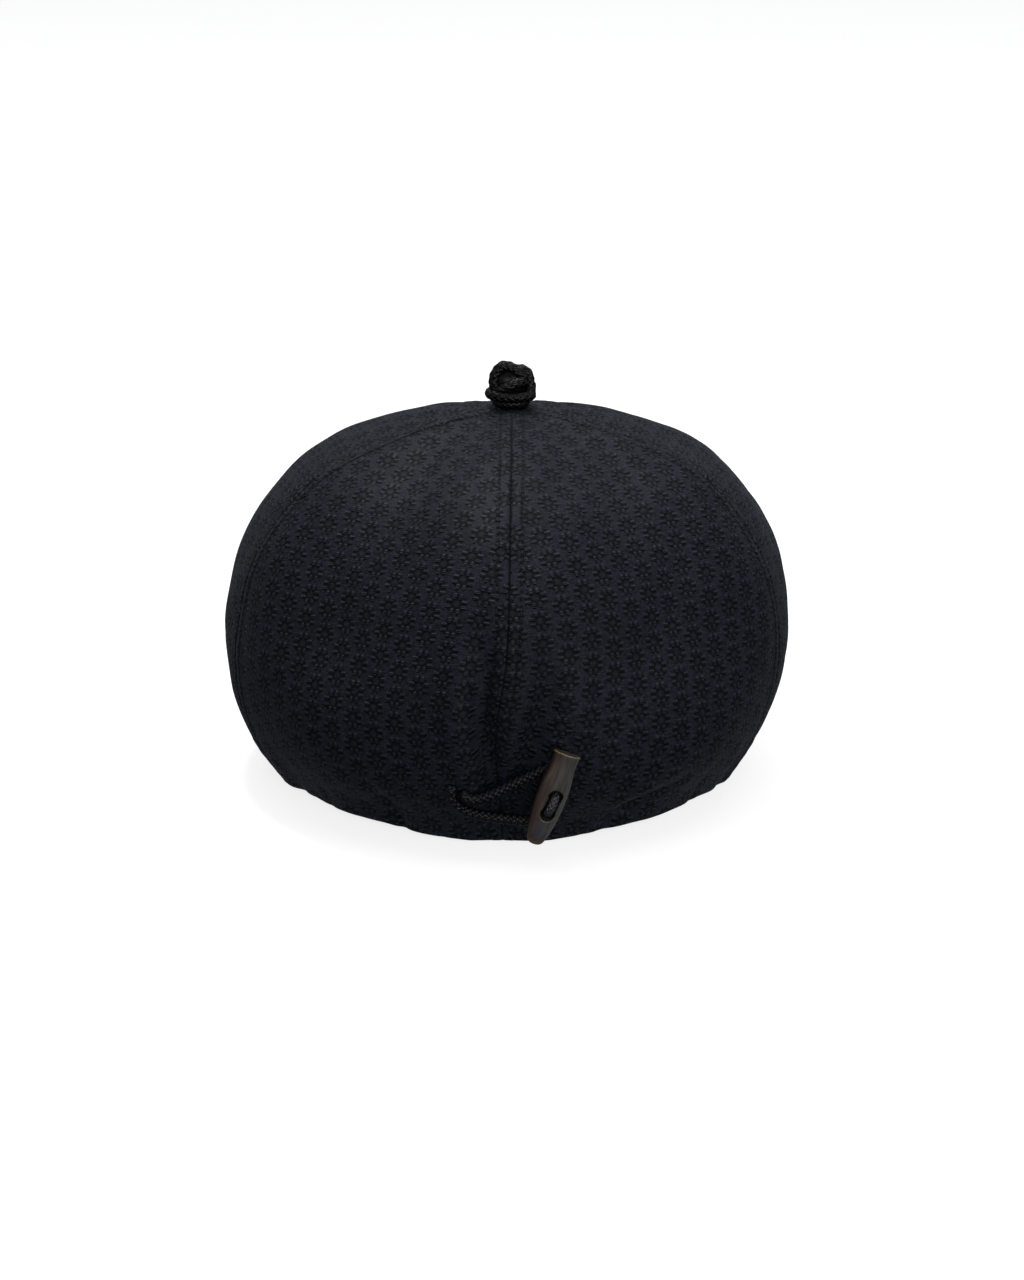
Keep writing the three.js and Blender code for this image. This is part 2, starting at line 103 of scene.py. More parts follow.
ALONG = np.concatenate([[0], np.cumsum(np.hypot(np.diff(PROFILE.radius), np.diff(PROFILE.height)))])
HEM_LIFT_FADE = 60
HEM_LIFT = table(
    "degrees lift",
    (0, 0),
    (9, 0),
    (20, 1.2),
    (32, 2.3),
    (55, 3.6),
    (78, 1.2),
    (92, 0),
    (180, 0),
)
DRIFT_WIDTH = 22
SEAM_DRIFT = table(
    "height degrees",
    (0, -1),
    (14, -1.4),
    (30, -2.1),
    (42, -2.5),
    (55, -2.2),
    (68, -1.1),
    (78, -0.4),
    (90, 0),
    (150, 0),
)
BACK_SINK = 11
BACK_SINK_START = 30
BACK_SINK_FULL = 90
FRONT_START = 105
FRONT_FULL = 175
FRONT_SAG = table(
    "height sag",
    (60, 0),
    (90, 1),
    (112, 3.4),
    (128, 6),
    (138, 6.2),
    (145, 3),
    (148.4, 0),
)
HEM_RIPPLES = 13
HEM_RIPPLE_DEPTH = 0.5
HEM_RIPPLE_HEIGHT = 30

# Folds and gathers: a width, then rows of millimetres round from the back, height and depth
Fold = namedtuple("Fold", "name width line")


def fold(name, width, *rows):
    return Fold(name, width, table("round height depth", *rows))


FOLDS = [
    fold(
        "left of the seam, deep",
        5.6,
        (-10.4, 102, 0.2),
        (-10.6, 88, 1.8),
        (-10.2, 74, 4),
        (-9, 58, 5.8),
        (-7.8, 42, 6.6),
        (-6.3, 29, 6.6),
        (-5, 14, 4),
    ),
    fold(
        "right of the seam, deep",
        6,
        (15.6, 96, 0.2),
        (15.2, 84, 1.4),
        (14.6, 72, 3),
        (12.8, 60, 4.8),
        (9.6, 47, 6),
        (6.4, 34, 6.4),
        (4.6, 20, 4.6),
    ),
    fold(
        "swelling left of the folds",
        5.5,
        (-19, 74, -0.8),
        (-18.2, 50, -2.2),
        (-17, 33, -1.8),
        (-18, 16, -0.6),
    ),
    fold("swelling right of the folds", 6.5, (27, 74, -0.8), (30, 52, -1.6), (34, 34, -1.2)),
    fold("cloth pressed in behind the toggle", 8, (22, 38, 0.8), (22, 26, 1.4)),
    fold(
        "hem drawn in at the back",
        13,
        (-104, 4, 1.4),
        (-60, 4, 3),
        (-19, 4, 3.8),
        (0, 3, 4.6),
        (22, 4, 3.8),
        (65, 4, 3.6),
        (106, 4, 1.6),
    ),
    fold("tuck in the hem, lower left", 3.6, (-60, 24, 0.8), (-55, 14, 2.6), (-52, 3, 3.2)),
    fold("hollow beside that tuck", 8, (-74, 5, 1.8), (-62, 7, 2.2)),
    fold("tuck in the hem, lower right", 4.2, (80, 19, 1), (66, 14.5, 2.2), (56, 11, 2.6), (48, 4, 2.8)),
    fold("ridge over that tuck", 6, (78, 29, -1.2), (60, 22, -1.4), (48, 14, -1)),
    fold("gather, left side", 6, (-117, 20, 0.6), (-121, 2, 2.4)),
    fold("gather, right side", 6, (124, 24, 0.6), (130, 2, 2.2)),
    fold("gather, front left", 7, (-236, 22, 0.5), (-238, 2, 1.4)),
    fold("fuller left side", 28, (-166, 58, -0.4), (-158, 36, -1.7), (-150, 12, -2)),
    fold("gather, front right", 7, (214, 24, 0.5), (212, 2, 1.5)),
]

# Creases too fine for the solids
CREASES = [
    fold(
        "edge of the left fold",
        1.6,
        (-15.4, 70, -0.2),
        (-14.6, 56, -0.8),
        (-13.6, 40, -1),
        (-12.6, 24, -0.6),
    ),
    fold("tuck's edge, lower left", 1.4, (-57.6, 20, -0.3), (-53.4, 10, -0.9), (-49.6, 2, -1)),
    fold("tuck's edge, lower right", 1.5, (84, 22, -0.2), (68, 17.5, -0.8), (56, 13.6, -0.9), (46, 7, -0.6)),
    fold("hem pucker, left of the loop", 2, (-33, 12, 0.2), (-31, 2, 1)),
    fold("hem pucker, far left", 2.4, (-92, 14, 0.2), (-95, 2, 1)),
    fold("hem pucker, right of the toggle", 2, (38, 12, 0.2), (37, 2, 1)),
    fold("hem pucker, far right", 2.4, (98, 16, 0.2), (102, 2, 1.1)),
]

# Soft waves of the cloth: lengths in millimetres round and up, a phase in turns, and a depth
WAVES = table(
    "round up phase depth",
    (61, 83, 0.1, 0.22),
    (-47, 52, 0.43, 0.16),
    (29, -38, 0.77, 0.1),
    (-19, -27, 0.29, 0.07),
    (12.5, 17, 0.61, 0.04),
)

# Seams
SEAM_DIP = 0.5
SEAM_DIP_WIDTH = 0.55
SEAM_RAISE = 0.3
SEAM_RAISE_EDGE = 4.2
SEAM_RAISE_FADE = 1.6
TOPSTITCH_AWAY = 4.6
TOPSTITCH_DIP = 0.26
TOPSTITCH_DIP_WIDTH = 0.6
PUCKER_LENGTH = 6.6
PUCKER_DEPTH = 0.06
PUCKER_AWAY = 3.6
PUCKER_WIDTH = 3.4
PUCKER_OFFSET = 1.3
PUCKER_WANDER = 1.7
PUCKER_WANDER_LENGTH = 23
CALM_TOP_RADIUS = 6
CALM_TOP_FADE = 20
STITCH_START = 3
STITCH_LENGTH = 2.1
STITCH_SPACING = 2.9
NEEDLE_START = STITCH_START + (STITCH_LENGTH + STITCH_SPACING) / 2
THREAD = 0.42

# The smallest bend of a panel's rows in the flat cloth, for each millimetre
LEAST_BEND = 1e-5

# Fineness of a panel's mesh
PANEL_COLUMNS = 128
PANEL_ROWS = 140
COLUMN_PACKING = 0.5
ROW_PACKING = 1.12
HEM_ROLL = 1.3
HEM_ROWS = (0, 0.1, 0.32, 0.65, 1.05, 1.5)


def smooth(xs, ys, x):
    """A smooth curve through the rows of a table."""
    step = np.diff(xs)
    slope = np.diff(ys) / step
    middle = (slope[1:] * step[:-1] + slope[:-1] * step[1:]) / (step[:-1] + step[1:])
    tangent = np.concatenate([slope[:1], middle, slope[-1:]])
    i = np.clip(np.searchsorted(xs, x) - 1, 0, len(xs) - 2)
    u = (x - xs[i]) / step[i]
    start = (2 * u**3 - 3 * u**2 + 1) * ys[i] + (u**3 - 2 * u**2 + u) * step[i] * tangent[i]
    end = (3 * u**2 - 2 * u**3) * ys[i + 1] + (u**3 - u**2) * step[i] * tangent[i + 1]
    return start + end


def ease(x):
    u = np.clip(x, 0, 1)
    return u * u * (3 - 2 * u)


def bell(away, width):
    return np.exp(-((away / width) ** 2))


def fold_depth(folds, around, height):
    """How deep the folds are at places on the crown."""
    depth = np.zeros_like(height)
    for each in folds:
        line = each.line
        nearest = np.full_like(height, np.inf)
        here = np.zeros_like(height)
        for i in range(len(line.round) - 1):
            across = line.round[i + 1] - line.round[i]
            up = line.height[i + 1] - line.height[i]
            far = (around - line.round[i]) * across + (height - line.height[i]) * up
            u = np.clip(far / (across**2 + up**2), 0, 1)
            away = np.hypot(around - line.round[i] - u * across, height - line.height[i] - u * up)
            closer = away < nearest
            nearest = np.where(closer, away, nearest)
            here = np.where(closer, line.depth[i] + u * (line.depth[i + 1] - line.depth[i]), here)
        depth += here * bell(nearest, each.width)
    return depth


def seam_distance(turn, radius):
    """Millimetres round to the nearest seam."""
    return radius * np.abs(turn - np.round(turn / PANEL_TURN) * PANEL_TURN)


def fine_relief(turn, along, radius, height, around):
    """How far seams, puckers, creases and the cloth's soft waves stand out."""
    away = seam_distance(turn, radius)
    seam = SEAM_RAISE * (1 - ease((away - SEAM_RAISE_EDGE) / SEAM_RAISE_FADE))
    seam -= SEAM_DIP * bell(away, SEAM_DIP_WIDTH)
    seam -= TOPSTITCH_DIP * bell(away - TOPSTITCH_AWAY, TOPSTITCH_DIP_WIDTH)
    side = np.sign(turn - np.round(turn / PANEL_TURN) * PANEL_TURN)
    phase = PUCKER_OFFSET * side + PUCKER_WANDER * np.sin(along / PUCKER_WANDER_LENGTH)
    beat = np.sin(2 * math.pi * along / PUCKER_LENGTH + phase)
    pucker = PUCKER_DEPTH * beat * bell(away - PUCKER_AWAY, PUCKER_WIDTH)
    calm_top = ease((radius - CALM_TOP_RADIUS) / CALM_TOP_FADE)
    waves = np.zeros_like(height)
    for i in range(len(WAVES.round)):
        turns = around / WAVES.round[i] + along / WAVES.up[i] + WAVES.phase[i]
        waves += WAVES.depth[i] * np.sin(2 * math.pi * turns)
    return (seam + pucker + waves) * calm_top - fold_depth(CREASES, around, height)


def crown_point(turn, along, inward):
    """Places on the crown: turn is the angle round from the back, along the distance up from the hem, and
    inward how far they lie behind the outer face."""
    radius = smooth(ALONG, PROFILE.radius, along)
    height = smooth(ALONG, PROFILE.height, along)
    ahead, behind = along + HALF_STEP, along - HALF_STEP
    rise = smooth(ALONG, PROFILE.height, ahead) - smooth(ALONG, PROFILE.height, behind)
    spread = smooth(ALONG, PROFILE.radius, ahead) - smooth(ALONG, PROFILE.radius, behind)
    slant = np.hypot(rise, spread)
    outward = rise / slant
    upward = -spread / slant * ease(along / HEM_UPRIGHT)
    drift = np.interp(height, SEAM_DRIFT.height, SEAM_DRIFT.degrees) * bell(np.degrees(turn), DRIFT_WIDTH)
    angle = turn + np.radians(drift)
    in_panel = np.abs(turn / PANEL_TURN - np.round(turn / PANEL_TURN)) * 2
    puff = PANEL_PUFF * (PUFF_BALANCE - (1 - in_panel) ** 2) * ease(radius / PUFF_RADIUS)
    back = np.where(np.abs(turn) < PANEL_TURN, np.sin(math.pi * turn / PANEL_TURN) ** 2, 0)
    flatness = ease((height - BACK_SINK_START) / (BACK_SINK_FULL - BACK_SINK_START))
    sink = BACK_SINK * back * flatness * radius / FOLD_SCALE
    ripple = HEM_RIPPLE_DEPTH * np.cos(HEM_RIPPLES * angle) * (1 - ease(height / HEM_RIPPLE_HEIGHT))
    whole = np.arctan2(np.sin(angle), np.cos(angle))
    from_back = np.abs(np.degrees(whole))
    front = ease((from_back - FRONT_START) / (FRONT_FULL - FRONT_START))
    sag = np.interp(height, FRONT_SAG.height, FRONT_SAG.sag) * front
    around = whole * FOLD_SCALE
    out = puff - sink - fold_depth(FOLDS, around, height) - ripple - sag - inward
    out += fine_relief(turn, along, radius, height, around)
    lift = np.interp(from_back, HEM_LIFT.degrees, HEM_LIFT.lift) * (1 - ease(height / HEM_LIFT_FADE))
    reach = radius + out * outward
    return np.stack(
        [
            reach * np.sin(angle) + CROWN_LEAN * (height / CROWN_HEIGHT) ** 2,
            -CROWN_DEPTH_SHARE * reach * np.cos(angle),
            height + lift + out * upward,
        ],
        axis=-1,
    )


def top_of_cloth():
    """How far along the profile the cloth ends under the knot."""
    along = np.linspace(ALONG[-3], ALONG[-1], 2000)
    return along[np.argmax(smooth(ALONG, PROFILE.radius, along) < TOP_HOLE_RADIUS)]


def flat_place(turn, along, middle):
    """Where a place on a panel lies in the flat cloth that it was cut from, from the panel's middle line."""
    radius = smooth(ALONG, PROFILE.radius, along)
    ahead = smooth(ALONG, PROFILE.radius, along + HALF_STEP)
    behind = smooth(ALONG, PROFILE.radius, along - HALF_STEP)
    bend = -(ahead - behind) / (2 * HALF_STEP) / np.maximum(radius, 1)
    bend = np.where(np.abs(bend) < LEAST_BEND, LEAST_BEND, bend)
    reach = radius * (turn - middle)
    return np.stack([np.sin(reach * bend) / bend, along + (1 - np.cos(reach * bend)) / bend], axis=-1)


# Meshes: a patch's corners hold places on its own surface, which the UV map holds divided by MAP_SCALE, and
# its finish is a number, or one for each face
Patch = namedtuple("Patch", "points faces corners finish")
MAP_SCALE = 100


def grid_faces(rows, columns, wrap=False):
    """Faces of a grid of points, row by row, and each corner's row and column."""
    i, j = np.meshgrid(np.arange(rows - 1), np.arange(columns if wrap else columns - 1), indexing="ij")
    i, j = i.ravel(), j.ravel()
    row = np.stack([i, i, i + 1, i + 1], axis=1)
    column = np.stack([j, j + 1, j + 1, j], axis=1)
    return row * columns + column % columns, row, column


def sweep(rings, along):
    """A closed tube through rings of points; its corners carry millimetres along and turns round."""
    count, sides = rings.shape[:2]
    faces, row, column = grid_faces(count, sides, wrap=True)
    corners = np.stack([along[row], column / sides], axis=-1).reshape(-1, 2)
    ends = [list(range(sides))[::-1], [(count - 1) * sides + j for j in range(sides)]]
    end_corners = np.array([[along[0], 0]] * sides + [[along[-1], 0]] * sides)
    return Patch(rings.reshape(-1, 3), faces.tolist() + ends, np.concatenate([corners, end_corners]), 0)


def add_piece(name, patches, finishes, replaced=(), points_data=None):
    """One object of the cap, made of patches, riding on the cap's body."""
    points, faces, corners, finish_of = [], [], [], []
    start = 0
    for patch in patches:
        points.append(patch.points)
        faces += [[start + k for k in face] for face in patch.faces]
        corners.append(patch.corners)
        finish_of += np.broadcast_to(patch.finish, len(patch.faces)).tolist()
        start += len(patch.points)
    mesh = bpy.data.meshes.new(name)
    mesh.from_pydata((np.concatenate(points) * MM).tolist(), [], faces)
    layer = mesh.uv_layers.new(name="cloth")
    layer.data.foreach_set("uv", (np.concatenate(corners) / MAP_SCALE).astype(np.float32).ravel())
    for finish in finishes:
        mesh.materials.append(finish)
    mesh.polygons.foreach_set("material_index", finish_of)
    mesh.polygons.foreach_set("use_smooth", [True] * len(faces))
    for label, values in (points_data or {}).items():
        mesh.attributes.new(label, "FLOAT", "POINT").data.foreach_set("value", values.astype(np.float32))
    mesh.update()
    piece = bpy.data.objects.new(name, mesh)
    bpy.context.scene.collection.objects.link(piece)
    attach(piece, "root")
    if replaced:
        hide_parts(*replaced)
    return piece


# Finishes
class Wire:
    """A socket that carries a value; operators on it add Math nodes to its finish."""

    def __init__(self, finish, socket):
        self.finish = finish
        self.socket = socket

    def maths(self, operation, *values):
        return self.finish.node("ShaderNodeMath", {"operation": operation}, dict(enumerate(values)))

    def __add__(self, other):
        return self.maths("ADD", self, other)

    __radd__ = __add__

    def __sub__(self, other):
        return self.maths("SUBTRACT", self, other)

    def __mul__(self, other):
        return self.maths("MULTIPLY", self, other)

    def __truediv__(self, other):
        return self.maths("DIVIDE", self, other)

    def __pow__(self, other):
        return self.maths("POWER", self, other)

    def __lt__(self, other):
        return self.maths("LESS_THAN", self, other)

    def __abs__(self):
        return self.maths("ABSOLUTE", self)

    def __round__(self):
        return self.maths("ROUND", self)

    def least(self, other):
        return self.maths("MINIMUM", self, other)

    def most(self, other):
        return self.maths("MAXIMUM", self, other)

    def sine(self):
        return self.maths("SINE", self)

    def root(self):
        return self.maths("SQRT", self)

    def rise(self, low, high):
        """0 below low, 1 above high and a smooth step between them; falls where low is the larger."""
        sockets = {"Value": self, "From Min": low, "From Max": high}
        return self.finish.node("ShaderNodeMapRange", {"interpolation_type": "SMOOTHSTEP"}, sockets)

    def other(self, output):
        return Wire(self.finish, self.socket.node.outputs[output])


class Finish:
    """A procedural material with one Principled shader."""

    def __init__(self, name):
        self.material = bpy.data.materials.new(name)
        self.material.use_nodes = True
        self.nodes = self.material.node_tree.nodes
        self.links = self.material.node_tree.links
        self.shader = self.nodes["Principled BSDF"]

    def node(self, kind, settings, sockets=None, output=0):
        """Adds a node: its settings first, then its sockets' values or links; gives the wanted output."""
        made = self.nodes.new(kind)
        for key, value in settings.items():
            setattr(made, key, value)
        self.feed(made, sockets or {})
        return Wire(self, made.outputs[output])

    def feed(self, node, sockets):
        for key, value in sockets.items():
            if isinstance(value, Wire):
                self.links.new(value.socket, node.inputs[key])
            else:
                node.inputs[key].default_value = value

    def mix(self, share, first, second):
        """A colour between two colours."""
        colours = [value if isinstance(value, Wire) else (*value, 1) for value in (first, second)]
        return self.node("ShaderNodeMix", {"data_type": "RGBA"}, {0: share, 6: colours[0], 7: colours[1]}, 2)

    def place(self):
        """The place on the piece's own surface: millimetres two ways on cloth, and on a tube millimetres
        along and turns round."""
        spot = self.node("ShaderNodeUVMap", {"uv_map": "cloth"})
        first = self.node("ShaderNodeSeparateXYZ", {}, {0: spot})
        return first * MAP_SCALE, first.other(1) * MAP_SCALE

    def point(self, x, y, z=0.0):
        return self.node("ShaderNodeCombineXYZ", {}, {0: x, 1: y, 2: z})

    def grain(self, place, scale, detail=2.0, roughness=0.5):
        """Noise from 0 to 1."""
        sockets = {"Vector": place, "Scale": scale, "Detail": detail, "Roughness": roughness}
        return self.node("ShaderNodeTexNoise", {}, sockets)

    def relief(self, height):
        """A bump of a height in millimetres."""
        return self.node("ShaderNodeBump", {}, {"Height": height, "Strength": 1.0, "Distance": MM})

    def done(self, **sockets):
        self.feed(self.shader, {key.replace("_", " "): value for key, value in sockets.items()})
        return self.material


# Jacquard: a ring of eight raised bars with dark gaps, set in a half-drop repeat on a slubbed ground; the
# gaps are painted shade between the raised bars, and each bar has a painted highlight on its upper edge and
# painted shade on its lower edge
MOTIF_ACROSS = 20.0
MOTIF_UP = 10.4
BAR_ASIDE = 1.25
BAR_OUT = 3.15
BAR_HALF_WIDTH = 0.68
BAR_HALF_LENGTH = 1.15
BAR_EDGE = 0.42
BAR_SOFTNESS = (1.3, 0.6)
RING_OUTSIDE = (4.6, 3.8)
RING_MIDDLE = (0.5, 1.9)
BAR_RELIEF = 0.5
GAP_RELIEF = -0.15
WEFT_SPACING = 0.95
YARN_ALONG = 0.3
YARN_ACROSS = 1.3
WARP_OFFSET = 7.0
FINE_SCALE = 1.5
WEFT_SHARE = 0.4
WARP_SHARE = 0.25
FINE_SHARE = 0.35
CLOUD_SCALE = 0.05
CREASE_SHARE = 0.8
NEEDLE_SHARE = 0.85
CLOUD_SHADE = 0.7
SLUB_SHADE = 7
WEFT_SHADE = 0.45
EDGE_SHADE = 1.5
CLOTH_ROUGHNESS = 0.52
WEFT_RELIEF = 0.1
SLUB_RELIEF = 0.5
NEEDLE_RELIEF = -0.25
CREASE_WIDTH = (0.5, 0.1)
NEEDLE_WIDTH = (0.85, 0.35)
GROUND_COLOUR = (0.0086, 0.0094, 0.0142)
GAP_SHADE_COLOUR = (0.003, 0.0033, 0.0052)
BAR_COLOUR = (0.0068, 0.0075, 0.0111)
SEAM_SHADE_COLOUR = (0.0014, 0.0015, 0.0022)


def woven_motif(x, y):
    """The ring of eight bars at a spot of the cloth: how far it is in a bar, and how far in the ring."""
    ax = x - round(x / MOTIF_ACROSS) * MOTIF_ACROSS
    ay = y - round(y / MOTIF_UP) * MOTIF_UP
    half_x, half_y = x + MOTIF_ACROSS / 2, y + MOTIF_UP / 2
    bx = half_x - round(half_x / MOTIF_ACROSS) * MOTIF_ACROSS
    by = half_y - round(half_y / MOTIF_UP) * MOTIF_UP
    first = abs(ax) * (2 / MOTIF_ACROSS) + abs(ay) * (2 / MOTIF_UP) < 1
    across = abs(bx + (ax - bx) * first)
    up = abs(by + (ay - by) * first)
    longer, shorter = across.most(up), across.least(up)
    bar_x = (shorter - BAR_ASIDE) / BAR_HALF_WIDTH
    bar_y = (longer - BAR_OUT) / BAR_HALF_LENGTH
    bar = (bar_x**4 + bar_y**4).rise(*BAR_SOFTNESS)
    away = (across * across + up * up).root()
    return bar, away.rise(*RING_OUTSIDE) * away.rise(*RING_MIDDLE)


def jacquard():
    finish = Finish("jacquard_cloth")
    x, y = finish.place()
    bar, inside = woven_motif(x, y)
    # painted highlight on each bar's upper edge and painted shade on its lower edge
    lit_edge = woven_motif(x, y - BAR_EDGE)[0] - woven_motif(x, y + BAR_EDGE)[0]
    weft_line = (y * (2 * math.pi / WEFT_SPACING)).sine() * bar
    weft = finish.grain(finish.point(x * YARN_ALONG, y * YARN_ACROSS), 1.0, 2.0, 0.6)
    warp = finish.grain(finish.point(x * YARN_ACROSS, y * YARN_ALONG, WARP_OFFSET), 1.0, 2.0, 0.6)
    fine = finish.grain(finish.point(x, y), FINE_SCALE, 2.0, 0.6)
    slub = weft * WEFT_SHARE + warp * WARP_SHARE + fine * FINE_SHARE
    cloudy = finish.grain(finish.point(x, y), CLOUD_SCALE, 3.0, 0.55)
    seam = finish.node("ShaderNodeAttribute", {"attribute_name": "from_seam"}, {}, "Fac")
    up_seam = finish.node("ShaderNodeAttribute", {"attribute_name": "up_seam"}, {}, "Fac")
    crease = seam.rise(*CREASE_WIDTH)
    beat = ((up_seam - NEEDLE_START) * (2 * math.pi / STITCH_SPACING) + math.pi / 2).sine()
    needle = abs(seam - TOPSTITCH_AWAY).rise(*NEEDLE_WIDTH) * beat.rise(-0.2, 0.7)
    height = bar * BAR_RELIEF + (inside - bar) * GAP_RELIEF + weft_line * WEFT_RELIEF
    height = height + slub * SLUB_RELIEF + needle * NEEDLE_RELIEF
    shade = (cloudy - 0.5) * CLOUD_SHADE + (slub - 0.5) * SLUB_SHADE
    shade = shade + weft_line * WEFT_SHADE + lit_edge * EDGE_SHADE + 1
    # painted shade: the ring round the bars is darkened as shade falling between the raised bars
    base = finish.mix(inside, GROUND_COLOUR, GAP_SHADE_COLOUR)
    base = finish.mix(bar, base, BAR_COLOUR)
    lit = finish.point(shade, shade, shade)
    colour = finish.node("ShaderNodeVectorMath", {"operation": "MULTIPLY"}, {0: base, 1: lit})
    # painted shade along the seam's crease and in the needle holes
    colour = finish.mix((crease * CREASE_SHARE).most(needle * NEEDLE_SHARE), colour, SEAM_SHADE_COLOUR)
    roughness = CLOTH_ROUGHNESS + (inside - bar) * 0.12 - bar * 0.12 + (slub - 0.5) * 0.3
    return finish.done(
        Base_Color=colour,
        Roughness=roughness,
        Normal=finish.relief(height),
        IOR=1.13,
        Coat_Weight=bar * 0.04,
        Coat_Roughness=0.34,
        Sheen_Weight=0.02,
        Sheen_Roughness=0.4,
        Sheen_Tint=(0.75, 0.82, 1, 1),
    )


TWILL_SPACING = 0.9
INSIDE_DARK = (0.006, 0.0065, 0.009)
INSIDE_LIGHT = (0.011, 0.012, 0.016)


def cloth_inside():
    finish = Finish("cloth_inside")
    x, y = finish.place()
    twill = ((x + y) * (2 * math.pi / TWILL_SPACING)).sine()
    cloudy = finish.grain(finish.point(x, y), CLOUD_SCALE, 3.0)
    colour = finish.mix(cloudy, INSIDE_DARK, INSIDE_LIGHT)
    return finish.done(
        Base_Color=colour,
        Roughness=0.72 + twill * 0.04,
        Normal=finish.relief(twill * 0.03),
        IOR=1.2,
    )


# Thread and cord yarns: on a tube, x is in millimetres along and y in turns round
THREAD_DARK = (0.003, 0.0032, 0.0048)
THREAD_LIGHT = (0.007, 0.0075, 0.011)
THREAD_TWIST = (2.2, 100)
FILAMENTS = (0.35, 700)
FILAMENT_RELIEF = 0.012
PLY = (0.55, 300)
PLY_RELIEF = 0.006


def thread():
    finish = Finish("sewing_thread")
    x, y = finish.place()
    twist = ((x * THREAD_TWIST[0] + y * THREAD_TWIST[1]) * (2 * math.pi)).sine()
    return finish.done(
        Base_Color=finish.mix(twist * 0.5 + 0.5, THREAD_DARK, THREAD_LIGHT),
        Roughness=0.5 + twist * 0.08,
        Normal=finish.relief(twist * 0.03),
        IOR=1.25,
    )


def braided_cord(name, dark, light, roughness, index):
    """Cord yarns: fine filaments that lie along each strand of the braid."""
    finish = Finish(name)
    x, y = finish.place()
    filaments = finish.grain(finish.point(x * FILAMENTS[0], y * FILAMENTS[1]), 1.0, 2.0, 0.6)
    ply = ((y * PLY[1] + x * PLY[0]) * (2 * math.pi)).sine()
    height = filaments * FILAMENT_RELIEF + ply * PLY_RELIEF
    return finish.done(
        Base_Color=finish.mix(filaments.rise(0.3, 0.75), dark, light),
        Roughness=roughness + (filaments - 0.5) * 0.2,
        Normal=finish.relief(height),
        IOR=index,
    )


# Cords: each is a round braid, half its strands turning one way and half the other, over and under
LOOP_CORD = 4.2
KNOT_CORD = 4.4
STITCH_CORD = 3.3
COLLAR_CORD = 3.4
BRAID_WAYS = 4
BRAID_PITCH = 2.3
STRAND_SIDES = 8
STRAND_STEP = 0.42
BRAID_CORE = 0.82
BRAID_CORE_SIDES = 10
BRAID_INSET = 0.4
LINE_SAMPLES = 60
FIRST_SIDE = (0.31, 0.12, 0.94)

LOOP_LINE = [
    (-16.0, -114.4, 27.6),
    (-15.6, -115.8, 26.4),
    (-13.4, -115.9, 25.6),
    (-9.6, -115.8, 25.9),
    (-3.2, -115.7, 28.4),
    (3.1, -115.7, 31.8),
    (9.5, -115.6, 34.9),
    (14.2, -115.7, 37.2),
    (18.8, -115.8, 36.8),
    (21.6, -115.4, 32.2),
    (21.3, -115.0, 26.0),
    (18.8, -114.8, 20.9),
    (14.0, -114.7, 17.2),
    (7.8, -114.6, 16.6),
    (-3.3, -114.2, 17.5),
    (-11.9, -113.8, 18.9),
    (-17.2, -114.0, 21.3),
    (-20.2, -114.6, 24.8),
    (-20.8, -115.2, 28.0),
    (-20.4, -114.6, 30.2),
]
STITCH_LINE = [
    (-0.4, 9.1, 18.4),
    (0.4, 6.9, 20.0),
    (1.2, 4.4, 21.2),
    (1.2, -1.6, 21.4),
    (1.1, -4.0, 19.4),
    (0.7, -4.1, 15.6),
    (0.6, -1.6, 13.5),
    (0.6, 4.4, 13.8),
    (0, 7.2, 14.6),
    (-0.4, 10.6, 15.4),
]
KNOT_ARCH = [
    (-6.0, -1.4, 5.2),
    (-7.0, -1.4, 8.6),
    (-6.6, -1.2, 12.2),
    (-3.8, -1.0, 15.6),
    (-0.2, -1.4, 15.2),
    (2.8, -1.8, 13.2),
    (4.6, -1.2, 10.4),
    (4.2, 0.8, 7.4),
]
KNOT_CROSSING = [
    (-5.8, -3.2, 5.8),
    (-2.8, -5.0, 7.6),
    (0.6, -5.4, 9.2),
    (3.2, -4.0, 10.0),
    (4.0, -1.0, 9.4),
    (2.2, 2.4, 9.2),
    (-1.6, 4.2, 9.4),
    (-4.6, 3.6, 7.4),
]
KNOT_SIDE = [
    (-2.4, 2.6, 11.4),
    (1.2, 2.2, 13.2),
    (4.2, 1.0, 13.7),
    (6.2, 0.2, 12.2),
    (6.8, -0.4, 9.4),
    (7.4, -0.8, 6.8),
    (6.6, -2.4, 4.4),
]
KNOT_RING = {"aside": -0.6, "across": 8.0, "deep": 6.2, "height": 4.3, "tilt": -0.3}
KNOT_COLLAR = {"aside": -0.4, "across": 5.9, "deep": 5.5, "height": 1.5, "tilt": 0.0}
KNOT_AT = np.array([CROWN_LEAN, 0, CROWN_HEIGHT])


def unit(vectors):
    return vectors / np.linalg.norm(vectors, axis=-1, keepdims=True)


def smooth_line(points, spacing):
    """Evenly spaced points along the smooth curve through the given ones, as the solids' cords run."""
    points = np.array(points, float)
    whole = np.concatenate([[2 * points[0] - points[1]], points, [2 * points[-1] - points[-2]]])
    u = np.linspace(0, 1, LINE_SAMPLES, endpoint=False)[:, None]
    line = []
    for a, b, c, d in zip(whole, whole[1:], whole[2:], whole[3:]):
        before, here, after = (np.linalg.norm(q - p) ** 0.5 for p, q in ((a, b), (b, c), (c, d)))
        start = ((b - a) / before - (c - a) / (before + here) + (c - b) / here) * here
        end = ((c - b) / here - (d - b) / (here + after) + (d - c) / after) * here
        line.append(
            b + start * u + (-3 * b + 3 * c - 2 * start - end) * u**2 + (2 * b - 2 * c + start + end) * u**3
        )
    line = np.concatenate(line + [points[-1:]])
    reach = np.concatenate([[0], np.cumsum(np.linalg.norm(np.diff(line, axis=0), axis=1))])
    even = np.linspace(0, reach[-1], max(4, round(reach[-1] / spacing)))
    return np.stack([np.interp(even, reach, line[:, k]) for k in range(3)], axis=-1), even


